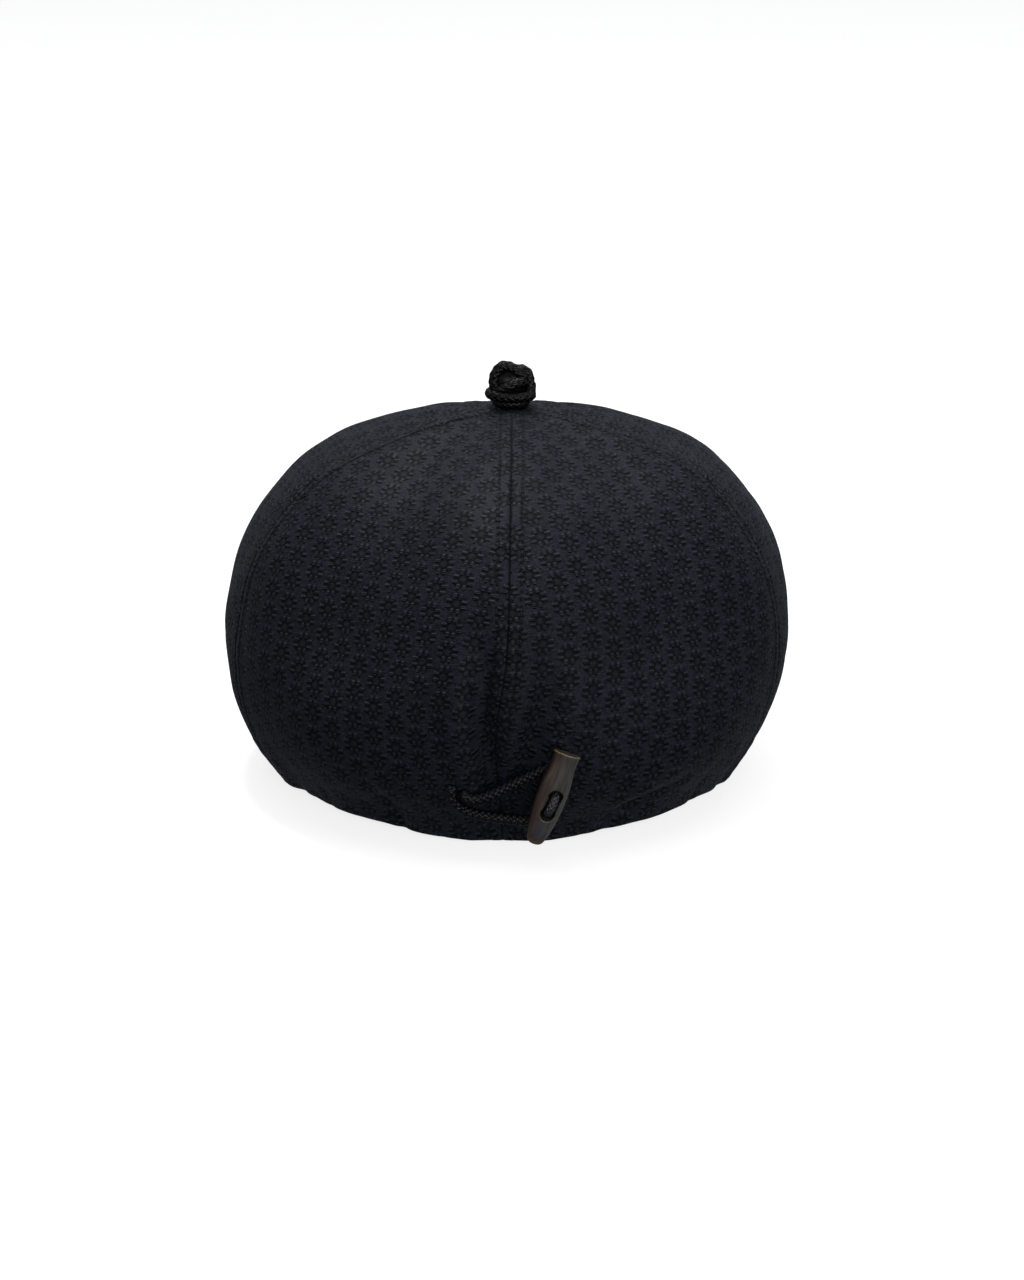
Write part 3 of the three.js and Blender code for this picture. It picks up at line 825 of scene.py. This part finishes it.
def carried_frames(line):
    """Two directions across a line that turn with it and don't twist about it."""
    ahead = unit(np.gradient(line, axis=0))
    side = np.empty_like(line)
    side[0] = unit(np.cross(ahead[0], FIRST_SIDE))
    for i in range(1, len(line)):
        side[i] = unit(side[i - 1] - ahead[i] * (side[i - 1] @ ahead[i]))
    return side, np.cross(ahead, side)


def tube(line, along, half_width, half_depth, outward, sides):
    """A tube with an oval section whose depth points outward."""
    ahead = unit(np.gradient(line, axis=0))
    across = unit(np.cross(outward, ahead))
    angle = np.arange(sides) / sides * 2 * math.pi
    ring = across[:, None] * np.cos(angle)[:, None] * half_width
    ring = ring + outward[:, None] * np.sin(angle)[:, None] * half_depth
    return sweep(line[:, None] + ring, along)


def braid(points, diameter, thick=0.12, weaving=0.065, wide=0.2):
    """The strands and the core of a braided cord along a line of points; shares of the diameter say how thick
    and wide half a strand is and how far it weaves in and out."""
    line, along = smooth_line(points, STRAND_STEP)
    side, over = carried_frames(line)
    half_depth = diameter * thick
    half_width = diameter * wide
    weave = diameter * weaving
    middle = diameter / 2 - half_depth - weave * BRAID_INSET
    core = middle * BRAID_CORE
    turn = 2 * math.pi * along / (BRAID_PITCH * diameter)
    patches = [tube(line, along, core, core, side, BRAID_CORE_SIDES)]
    for way in (1, -1):
        for k in range(BRAID_WAYS):
            angle = way * turn + 2 * math.pi * (k + (0.5 if way < 0 else 0)) / BRAID_WAYS
            outward = side * np.cos(angle)[:, None] + over * np.sin(angle)[:, None]
            reach = middle + way * weave * np.cos(BRAID_WAYS * turn - math.pi / 2)
            strand = line + outward * reach[:, None]
            patches.append(tube(strand, along, half_width, half_depth, outward, STRAND_SIDES))
    return patches


def moved(patches, origin, basis=np.eye(3)):
    """Patches turned to a basis, whose rows are directions, and carried to an origin."""
    return [patch._replace(points=patch.points @ basis + origin) for patch in patches]


# Toggle
TOGGLE_TIP = np.array([10.2, -121.4, 10.4])
TOGGLE_TOP = np.array([22.9, -122.9, 47.0])
TOGGLE_STATIONS = table(
    "along width thickness",
    (0, 4.4, 3.6),
    (0.7, 5.8, 5),
    (2.3, 7.2, 6.2),
    (5.6, 8.7, 7.3),
    (9.8, 10.2, 8.2),
    (14, 11.1, 8.8),
    (20, 11.6, 9.1),
    (26.5, 11.1, 8.8),
    (31, 9.9, 8.3),
    (35, 9.7, 8),
    (38.6, 10.2, 8.2),
)
TOGGLE_CUT_SLANT = 0.2
TOGGLE_HOLES = table("along aside", (13.7, 0.6), (21.2, 1.2))
TOGGLE_HOLE = 5.6
TOGGLE_GROOVE = 4.9
TOGGLE_GROOVE_OUT = 4.2
TOGGLE_CUTTER_REACH = 10
TOGGLE_CUTTER_SIDES = 40
TOGGLE_CUTTER_RINGS = 6
TOGGLE_SIDES = 72
TOGGLE_ROUND_TIP = 2.4
TOGGLE_TIP_RINGS = 14
TOGGLE_RINGS = 90
TOGGLE_VOXEL = 0.24
TOGGLE_SMOOTHING = 5


def toggle_basis():
    """The toggle's own directions, as rows: across, from front to back, and along."""
    along = unit(TOGGLE_TOP - TOGGLE_TIP)
    across = unit(np.cross((0, 1, 0), along))
    return np.stack([across, np.cross(along, across), along])


def solid_of(name, patch):
    mesh = bpy.data.meshes.new(name)
    mesh.from_pydata(patch.points.tolist(), [], patch.faces)
    solid = bpy.data.objects.new(name, mesh)
    bpy.context.scene.collection.objects.link(solid)
    return solid


def toggle_body():
    row = TOGGLE_STATIONS
    tip = np.linspace(0, TOGGLE_ROUND_TIP, TOGGLE_TIP_RINGS)
    along = np.unique(np.concatenate([tip, np.linspace(TOGGLE_ROUND_TIP, row.along[-1], TOGGLE_RINGS)]))
    width = smooth(row.along, row.width, along)
    thickness = smooth(row.along, row.thickness, along)
    angle = np.arange(TOGGLE_SIDES) / TOGGLE_SIDES * 2 * math.pi
    behind = np.outer(thickness, np.sin(angle)) / 2
    to_cut = np.clip((along - row.along[-2]) / (row.along[-1] - row.along[-2]), 0, 1)[:, None]
    level = along[:, None] - TOGGLE_CUT_SLANT * to_cut * (behind + thickness[:, None] / 2)
    return sweep(np.stack([np.outer(width, np.cos(angle)) / 2, behind, level], axis=-1), along)


def rod(radius, start, end, direction):
    """A straight round rod, used to cut the toggle."""
    ends = np.array([start, end], float)
    share = np.linspace(0, 1, TOGGLE_CUTTER_RINGS)
    line = ends[0] + (ends[1] - ends[0]) * share[:, None]
    outward = np.repeat(np.array([direction], float), len(line), axis=0)
    return tube(line, share, radius, radius, outward, TOGGLE_CUTTER_SIDES)


def toggle_patch():
    """The drilled and grooved toggle with softly rounded edges, in its own directions."""
    body = solid_of("toggle_body", toggle_body())
    holes = list(zip(TOGGLE_HOLES.aside, TOGGLE_HOLES.along))
    reach = TOGGLE_CUTTER_REACH
    cuts = [
        rod(TOGGLE_HOLE / 2, (aside, -reach, along), (aside, reach, along), (0, 0, 1))
        for aside, along in holes
    ]
    ends = [(aside, -TOGGLE_GROOVE_OUT, along) for aside, along in holes]
    cuts.append(rod(TOGGLE_GROOVE / 2, *ends, (0, 1, 0)))
    cutters = [solid_of(f"toggle_cut_{k}", cut) for k, cut in enumerate(cuts)]
    for cutter in cutters:
        cut = body.modifiers.new("cut", "BOOLEAN")
        cut.operation = "DIFFERENCE"
        cut.object = cutter
    remesh = body.modifiers.new("even", "REMESH")
    remesh.mode = "VOXEL"
    remesh.voxel_size = TOGGLE_VOXEL
    soften = body.modifiers.new("soften", "SMOOTH")
    soften.factor = 0.5
    soften.iterations = TOGGLE_SMOOTHING
    bpy.context.view_layer.update()
    made = body.evaluated_get(bpy.context.evaluated_depsgraph_get()).to_mesh()
    points = np.empty(len(made.vertices) * 3)
    made.vertices.foreach_get("co", points)
    faces = [list(face.vertices) for face in made.polygons]
    points = points.reshape(-1, 3)
    corners = points[np.concatenate([np.array(face) for face in faces])][:, [0, 2]]
    for solid in [body, *cutters]:
        bpy.data.objects.remove(solid)
    return Patch(points, faces, corners, 0)


# The horn's colours from its left edge to its right, darker at both edges as painted shade and lighter near
# the right edge as a painted highlight, its darker parts, and its cut end with a pale rim that is a painted
# highlight
HORN_BANDS_AND_EDGE_LIGHT = [
    (0.0, (0.006, 0.004, 0.0032)),
    (0.13, (0.026, 0.013, 0.008)),
    (0.27, (0.042, 0.027, 0.019)),
    (0.48, (0.033, 0.03, 0.027)),
    (0.78, (0.038, 0.0375, 0.0345)),
    (0.92, (0.058, 0.06, 0.053)),
    (1.0, (0.02, 0.019, 0.017)),
]
HORN_WIDTH = 11.6
HORN_FIBRE = (0.006, 0.005, 0.0045)
HORN_BLUE = (0.019, 0.021, 0.031)
HORN_AMBER = (0.075, 0.034, 0.01)
HORN_SLOT_SHADE = (0.002, 0.0017, 0.0014)
HORN_CUT = (0.011, 0.0095, 0.0045)
HORN_RIM_HIGHLIGHT = (0.13, 0.085, 0.026)
BLUE_AT = (-0.6, 6.5)
SLOT_EDGE = (2.9, 2.6)
CUT_FROM = (37.3, 37.7)
CUT_HALF_WIDTH = 5.1
CUT_HALF_DEPTH = 4.1


def horn():
    finish = Finish("horn")
    spot = finish.node("ShaderNodeTexCoord", {}, {}, "Object")
    across, behind, along = toggle_basis()

    def way(direction):
        sockets = {0: spot, 1: tuple(direction)}
        aimed = finish.node("ShaderNodeVectorMath", {"operation": "DOT_PRODUCT"}, sockets, 1)
        return aimed * (1 / MM) - float(TOGGLE_TIP @ direction)

    x, y, z = way(across), way(behind), way(along)
    wander = finish.grain(finish.point(x * 0.2, y * 0.2, z * 0.07), 1.0, 3.0, 0.6) - 0.5
    fibre = finish.grain(finish.point(x * 1.5 + wander * 3, y * 1.5, z * 0.09), 1.0, 3.0, 0.55)
    # the horn's own banding, with painted shade at its edges and a painted highlight streak near its right
    # edge
    bands = finish.node("ShaderNodeValToRGB", {}, {"Fac": (x + wander * 2.4) / HORN_WIDTH + 0.5})
    ramp = bands.socket.node.color_ramp
    ramp.elements[0].position = HORN_BANDS_AND_EDGE_LIGHT[0][0]
    ramp.elements[0].color = (*HORN_BANDS_AND_EDGE_LIGHT[0][1], 1)
    ramp.elements[1].position = HORN_BANDS_AND_EDGE_LIGHT[-1][0]
    ramp.elements[1].color = (*HORN_BANDS_AND_EDGE_LIGHT[-1][1], 1)
    for position, colour in HORN_BANDS_AND_EDGE_LIGHT[1:-1]:
        ramp.elements.new(position).color = (*colour, 1)
    colour = finish.mix(fibre.rise(0.62, 0.32) * 0.6, bands, HORN_FIBRE)
    blue = abs(x - BLUE_AT[0] - wander * 3).rise(1.7, 0.4) * abs(z - BLUE_AT[1]).rise(4.5, 1.5)
    colour = finish.mix(blue * 0.75, colour, HORN_BLUE)
    colour = finish.mix(z.rise(3.0, 0.4) * 0.75, colour, HORN_AMBER)
    low, high = (float(value) for value in TOGGLE_HOLES.along)
    low_x, high_x = (float(value) for value in TOGGLE_HOLES.aside)
    slot_x = x - low_x - (z - low) * ((high_x - low_x) / (high - low))
    slot_z = z - z.most(low).least(high)
    # painted shade inside the drilled slot and groove, whose walls are also rougher
    slot = (slot_x * slot_x + slot_z * slot_z).root().rise(*SLOT_EDGE)
    colour = finish.mix(slot * 0.95, colour, HORN_SLOT_SHADE)
    cut = (z + y * TOGGLE_CUT_SLANT).rise(*CUT_FROM)
    oval = ((x / CUT_HALF_WIDTH) ** 2 + (y / CUT_HALF_DEPTH) ** 2).root()
    colour = finish.mix(cut * 0.95, colour, HORN_CUT)
    # painted highlight: a pale golden band round the rim of the cut end
    colour = finish.mix(cut * oval.rise(0.8, 0.88) * 0.8, colour, HORN_RIM_HIGHLIGHT)
    return finish.done(
        Base_Color=colour,
        Roughness=0.28 + fibre * 0.16 + cut * 0.2 + slot * 0.5,
        Normal=finish.relief(fibre * 0.03),
        IOR=1.45,
    )


# Camera and floor
camera = bpy.data.objects.new("camera", bpy.data.cameras.new("camera"))
camera.location = Vector(CAMERA_AT) * MM
camera.rotation_euler = (Vector(CAMERA_AIM) - Vector(CAMERA_AT)).to_track_quat("-Z", "Y").to_euler()
camera.data.lens = CAMERA_LENS
camera.data.sensor_fit = "VERTICAL"
camera.data.sensor_height = CAMERA_SENSOR
camera.data.clip_end = 50
bpy.context.scene.collection.objects.link(camera)
bpy.context.scene.camera = camera

FLOOR_HALF = 9.0
FLOOR_LEVEL = -0.0003
floor_mesh = bpy.data.meshes.new("floor")
floor_corners = [
    (x * FLOOR_HALF, y * FLOOR_HALF, FLOOR_LEVEL) for x, y in ((-1, -1), (1, -1), (1, 1), (-1, 1))
]
floor_mesh.from_pydata(floor_corners, [], [(0, 1, 2, 3)])
floor_finish = Finish("floor_paper")
floor_mesh.materials.append(
    floor_finish.done(
        Base_Color=(0.3, 0.3, 0.3, 1),
        Roughness=0.9,
        IOR=1.1,
        Emission_Color=(1, 1, 1, 1),
        Emission_Strength=0.79,
    )
)
floor = bpy.data.objects.new("floor", floor_mesh)
bpy.context.scene.collection.objects.link(floor)
floor.visible_diffuse = False
floor.visible_glossy = False
floor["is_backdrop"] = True

# Light: soft lamps aimed at the middle of the cap, in metres, under a grey sky
LAMPS_AIM = (0, 0, 0.08)
SKY_LOW = (0.16, 0.16, 0.17, 1)
SKY_HIGH = (0.5, 0.51, 0.53, 1)
SKY_TURN = 0.4
LIGHTS = [
    {"name": "overhead", "at": (0.1, 0.35, 1.5), "size": 1.7, "power": 18},
    {"name": "key", "at": (-0.25, 0.35, 1.4), "size": 0.2, "power": 11},
    {"name": "right_fill", "at": (1.6, -0.9, 0.7), "size": 1.0, "power": 8},
    {"name": "left_fill", "at": (-1.6, -0.9, 0.7), "size": 1.0, "power": 4},
    {"name": "front_fill", "at": (0.5, -2.2, 0.4), "size": 1.4, "power": 36},
]
for light in LIGHTS:
    data = bpy.data.lights.new(light["name"], "AREA")
    data.size = light["size"]
    data.energy = light["power"]
    lamp = bpy.data.objects.new(light["name"], data)
    lamp.location = light["at"]
    lamp.rotation_euler = (Vector(LAMPS_AIM) - Vector(light["at"])).to_track_quat("-Z", "Y").to_euler()
    bpy.context.scene.collection.objects.link(lamp)
world = bpy.data.worlds.new("studio")
world.use_nodes = True
sky = world.node_tree.nodes
direction = sky.new("ShaderNodeTexCoord")
parts = sky.new("ShaderNodeSeparateXYZ")
glow = sky.new("ShaderNodeValToRGB")
glow.color_ramp.elements[0].position = SKY_TURN
glow.color_ramp.elements[0].color = SKY_LOW
glow.color_ramp.elements[1].color = SKY_HIGH
height_up = sky.new("ShaderNodeMapRange")
height_up.inputs["From Min"].default_value = -1
for start, end in (
    (direction.outputs["Generated"], parts.inputs[0]),
    (parts.outputs["Z"], height_up.inputs["Value"]),
    (height_up.outputs["Result"], glow.inputs["Fac"]),
    (glow.outputs["Color"], sky["Background"].inputs["Color"]),
):
    world.node_tree.links.new(start, end)
bpy.context.scene.world = world
bpy.context.scene.view_settings.view_transform = "Standard"


# Crown panels
OUTER_CLOTH = 0
INNER_CLOTH = 1
HEM_TURN_START = HEM_TURN - 1
HEM_TURN_FADE = 1.4


def panel_patch(first_seam, bias, shift):
    """A panel from one seam to the next, with its hem rolled under, and each point's distances from a seam
    and along it. The pattern is turned by bias degrees and shifted by millimetres."""
    top = top_of_cloth()
    u = np.linspace(0, 1, PANEL_COLUMNS + 1)
    share = u - COLUMN_PACKING / (2 * math.pi) * np.sin(2 * math.pi * u)
    turns = (first_seam + share) * PANEL_TURN
    upper = HEM_ROWS[-1] + (top - HEM_ROWS[-1]) * np.linspace(0, 1, PANEL_ROWS + 1) ** ROW_PACKING
    alongs = np.concatenate([HEM_ROWS[:-1], upper])
    turn, along = np.meshgrid(turns, alongs)
    thick = CLOTH_WALL + HEM_EXTRA * (1 - ease((along - HEM_TURN_START) / HEM_TURN_FADE))
    near = np.clip(1 - along / HEM_ROLL, 0, 1)
    roll = HEM_ROLL * (1 - np.sqrt(1 - near**2))
    outer = crown_point(turn, along, roll)
    inner = crown_point(turn, along, thick - roll)
    rows, columns = turn.shape
    lean = math.radians(bias)
    pattern_axes = np.array([(math.cos(lean), -math.sin(lean)), (math.sin(lean), math.cos(lean))])
    flat = flat_place(turn, along, (first_seam + 0.5) * PANEL_TURN) @ pattern_axes + shift
    faces, row, column = grid_faces(rows, columns)
    behind = rows * columns
    inner_faces = (faces + behind)[:, ::-1]
    edge = []
    edge_corners = []
    for i in range(rows - 1):
        for j, way in ((0, 1), (columns - 1, -1)):
            a, b = i * columns + j, (i + 1) * columns + j
            edge.append([behind + a, a, b, behind + b][::way])
            edge_corners += [flat[i, j], flat[i, j], flat[i + 1, j], flat[i + 1, j]][::way]
    for j in range(columns - 1):
        for i, way in ((0, -1), (rows - 1, 1)):
            a, b = i * columns + j, i * columns + j + 1
            edge.append([a, b, behind + b, behind + a][::way])
            edge_corners += [flat[i, j], flat[i, j + 1], flat[i, j + 1], flat[i, j]][::way]
    corners = [flat[row, column], flat[row[:, ::-1], column[:, ::-1]], np.array(edge_corners)]
    panel = Patch(
        np.concatenate([outer.reshape(-1, 3), inner.reshape(-1, 3)]),
        faces.tolist() + inner_faces.tolist() + edge,
        np.concatenate([part.reshape(-1, 2) for part in corners]),
        [OUTER_CLOTH] * len(faces) + [INNER_CLOTH] * len(faces) + [OUTER_CLOTH] * len(edge),
    )
    away = seam_distance(turn, smooth(ALONG, PROFILE.radius, along)).ravel()
    seam_data = {"from_seam": np.concatenate([away, away]), "up_seam": np.tile(along.ravel(), 2)}
    return panel, seam_data


cloth = jacquard()
inside_cloth = cloth_inside()
# Each panel's first seam, counted from the back, and how far its pattern is turned and shifted in it
PANELS = {
    "crown_panel_back_left": {"first_seam": -1, "bias": 4, "shift": (-1.5, 2.7)},
    "crown_panel_back_right": {"first_seam": 0, "bias": -4, "shift": (1, 3.5)},
    "crown_panel_side_left": {"first_seam": -2, "bias": 0, "shift": (0, 0)},
    "crown_panel_side_right": {"first_seam": 1, "bias": 0, "shift": (0, 0)},
    "crown_panel_front": {"first_seam": 2, "bias": 0, "shift": (0, 0)},
}
for node, layout in PANELS.items():
    panel, seam_data = panel_patch(**layout)
    name = node.replace("crown_panel", "cloth")
    add_piece(name, [panel], [cloth, inside_cloth], [node], seam_data)


# Topstitching, a row of stitches on each side of each seam; the ends of a stitch sink into the cloth
STITCH_STEPS = 6
STITCH_SIDES = 6
STITCH_END = 14
STITCH_SUNK = 0.22
STITCH_BULGE = 0.34
STITCH_END_SHARE = 0.55
STITCH_LOOK_OUT = 0.4


def stitch_patches():
    patches = []
    count = int((top_of_cloth() - STITCH_END) / STITCH_SPACING)
    bulge = np.sin(np.linspace(0, math.pi, STITCH_STEPS + 1))
    angle = np.arange(STITCH_SIDES) / STITCH_SIDES * 2 * math.pi
    half = THREAD / 2 * (STITCH_END_SHARE + (1 - STITCH_END_SHARE) * bulge)[:, None, None]
    for seam in range(PANEL_COUNT):
        for side in (-1, 1):
            for k in range(count):
                start = STITCH_START + k * STITCH_SPACING
                along = start + STITCH_LENGTH * np.linspace(0, 1, STITCH_STEPS + 1)
                turn = seam * PANEL_TURN + side * TOPSTITCH_AWAY / smooth(ALONG, PROFILE.radius, along)
                line = crown_point(turn, along, STITCH_SUNK - STITCH_BULGE * bulge)
                outward = unit(crown_point(turn, along, -STITCH_LOOK_OUT) - crown_point(turn, along, 0))
                across = unit(np.cross(outward, unit(np.gradient(line, axis=0))))
                ring = across[:, None] * np.cos(angle)[:, None] + outward[:, None] * np.sin(angle)[:, None]
                patches.append(sweep(line[:, None] + ring * half, along))
    return patches


add_piece("topstitching", stitch_patches(), [thread()])

# Cords and knot
knot_finish = braided_cord(
    "knot_cord",
    dark=(0.0006, 0.0006, 0.0007),
    light=(0.0018, 0.002, 0.0021),
    roughness=0.14,
    index=1.23,
)
cord_finish = braided_cord(
    "loop_cord",
    dark=(0.0005, 0.0005, 0.0008),
    light=(0.0028, 0.003, 0.0044),
    roughness=0.26,
    index=1.25,
)
stitch_finish = braided_cord(
    "stitch_cord",
    dark=(0.004, 0.0042, 0.0052),
    light=(0.016, 0.0168, 0.02),
    roughness=0.3,
    index=1.42,
)


RING_CORNERS = 27
CORE_SIDES = 24
CORE_RINGS = 24
CORE_BOTTOM = -2.5
CORE_TOP = 14.9
CORE_MIDDLE = 9
CORE_HALF_HEIGHT = 6
CORE_RADIUS = 5.8
CORE_FLATTEST = 0.98
CORE_ASIDE = -0.9
CORE_DEPTH_SHARE = 0.75


def ellipse(size, start):
    """Points once round a nearly level ring, from an angle in turns."""
    angle = (start + np.linspace(0, 1, RING_CORNERS)) * 2 * math.pi
    height = size["height"] + size["tilt"] * np.cos(angle)
    across = size["aside"] + size["across"] * np.cos(angle)
    return np.stack([across, size["deep"] * np.sin(angle), height], axis=-1)


def knot_core():
    """The dark middle of the knot, which closes the space between its strands."""
    height = np.linspace(CORE_BOTTOM, CORE_TOP, CORE_RINGS)
    dome = np.clip((height - CORE_MIDDLE) / CORE_HALF_HEIGHT, 0, CORE_FLATTEST)
    radius = CORE_RADIUS * np.sqrt(1 - dome**2)
    angle = np.arange(CORE_SIDES) / CORE_SIDES * 2 * math.pi
    across = np.outer(radius, np.cos(angle)) + CORE_ASIDE
    deep = np.outer(radius, np.sin(angle)) * CORE_DEPTH_SHARE
    level = np.repeat(height[:, None], CORE_SIDES, axis=1)
    return sweep(np.stack([across, deep, level], axis=-1), height)


knot_patches = [knot_core()]
for line, diameter in (
    (KNOT_ARCH, KNOT_CORD),
    (KNOT_CROSSING, KNOT_CORD),
    (KNOT_SIDE, KNOT_CORD),
    (ellipse(KNOT_RING, 0.25), KNOT_CORD),
    (ellipse(KNOT_COLLAR, 0.3), COLLAR_CORD),
):
    knot_patches += braid(line, diameter, thick=0.1, weaving=0.04, wide=0.21)
add_piece("knot", moved(knot_patches, KNOT_AT), [knot_finish], ["top_knot"])
add_piece("loop", braid(LOOP_LINE, LOOP_CORD), [cord_finish], ["closure_loop"])
stitch = moved(braid(STITCH_LINE, STITCH_CORD), TOGGLE_TIP, toggle_basis())
add_piece("toggle_cord", stitch, [stitch_finish], ["toggle_stitch"])
toggle = moved([toggle_patch()], TOGGLE_TIP, toggle_basis())
add_piece("horn_toggle", toggle, [horn()], ["toggle"])

visual_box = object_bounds()
boxes = {"cad": cad_box, "visual": visual_box}
{key: [[float(value) for value in corner] for corner in box] for key, box in boxes.items()}
